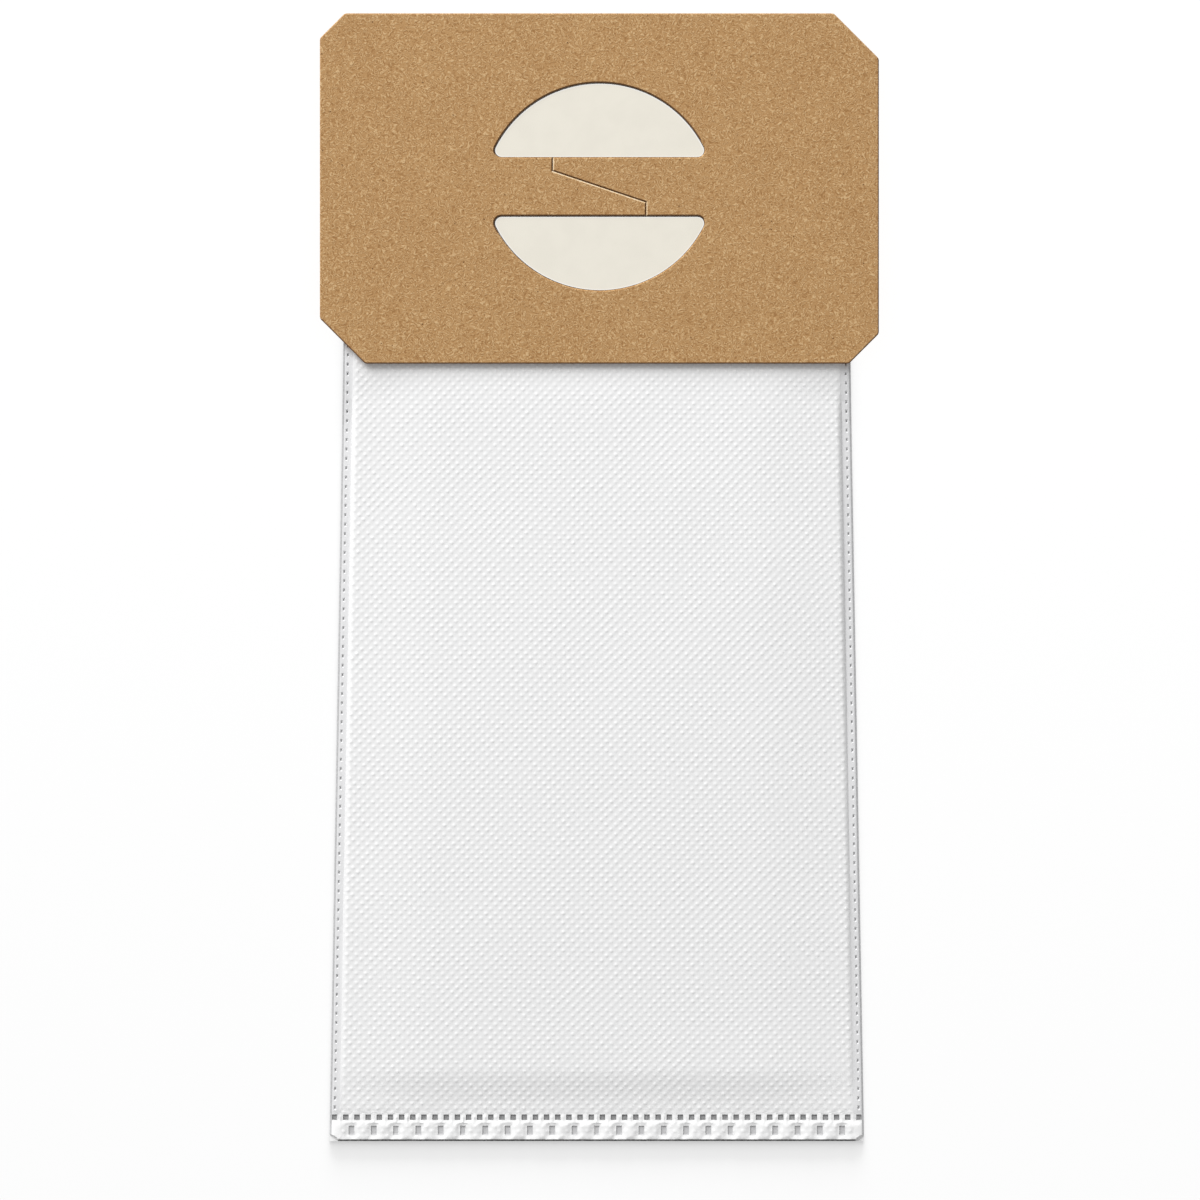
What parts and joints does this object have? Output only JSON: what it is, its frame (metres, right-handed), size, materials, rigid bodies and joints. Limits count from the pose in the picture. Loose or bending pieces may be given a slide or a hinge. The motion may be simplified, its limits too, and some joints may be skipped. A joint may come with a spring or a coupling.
{
  "type": "vacuum cleaner dust bag",
  "caption": "Flat nonwoven dust bag with welded edges and a stiff chamfered board collar whose half-moon windows are closed by a flexible seal.",
  "frame": {"origin": "under the middle of the outline, on the surface that the bag lies on", "axes": "+Z out of the collar's face, +Y along the bag towards the collar's top edge, +X across the bag to the right as the collar is faced"},
  "size_m": [0.1746, 0.3526, 0.0066],
  "materials": {
    "kraft_board": "matte",
    "flexible_seal": "satin",
    "front_nonwoven": "matte",
    "back_nonwoven": "matte"
  },
  "bodies": {
    "root": {"collar": "kraft_board", "inlet_seal": "flexible_seal", "front_panel": "front_nonwoven", "back_panel": "back_nonwoven"}
  },
  "joints": []
}
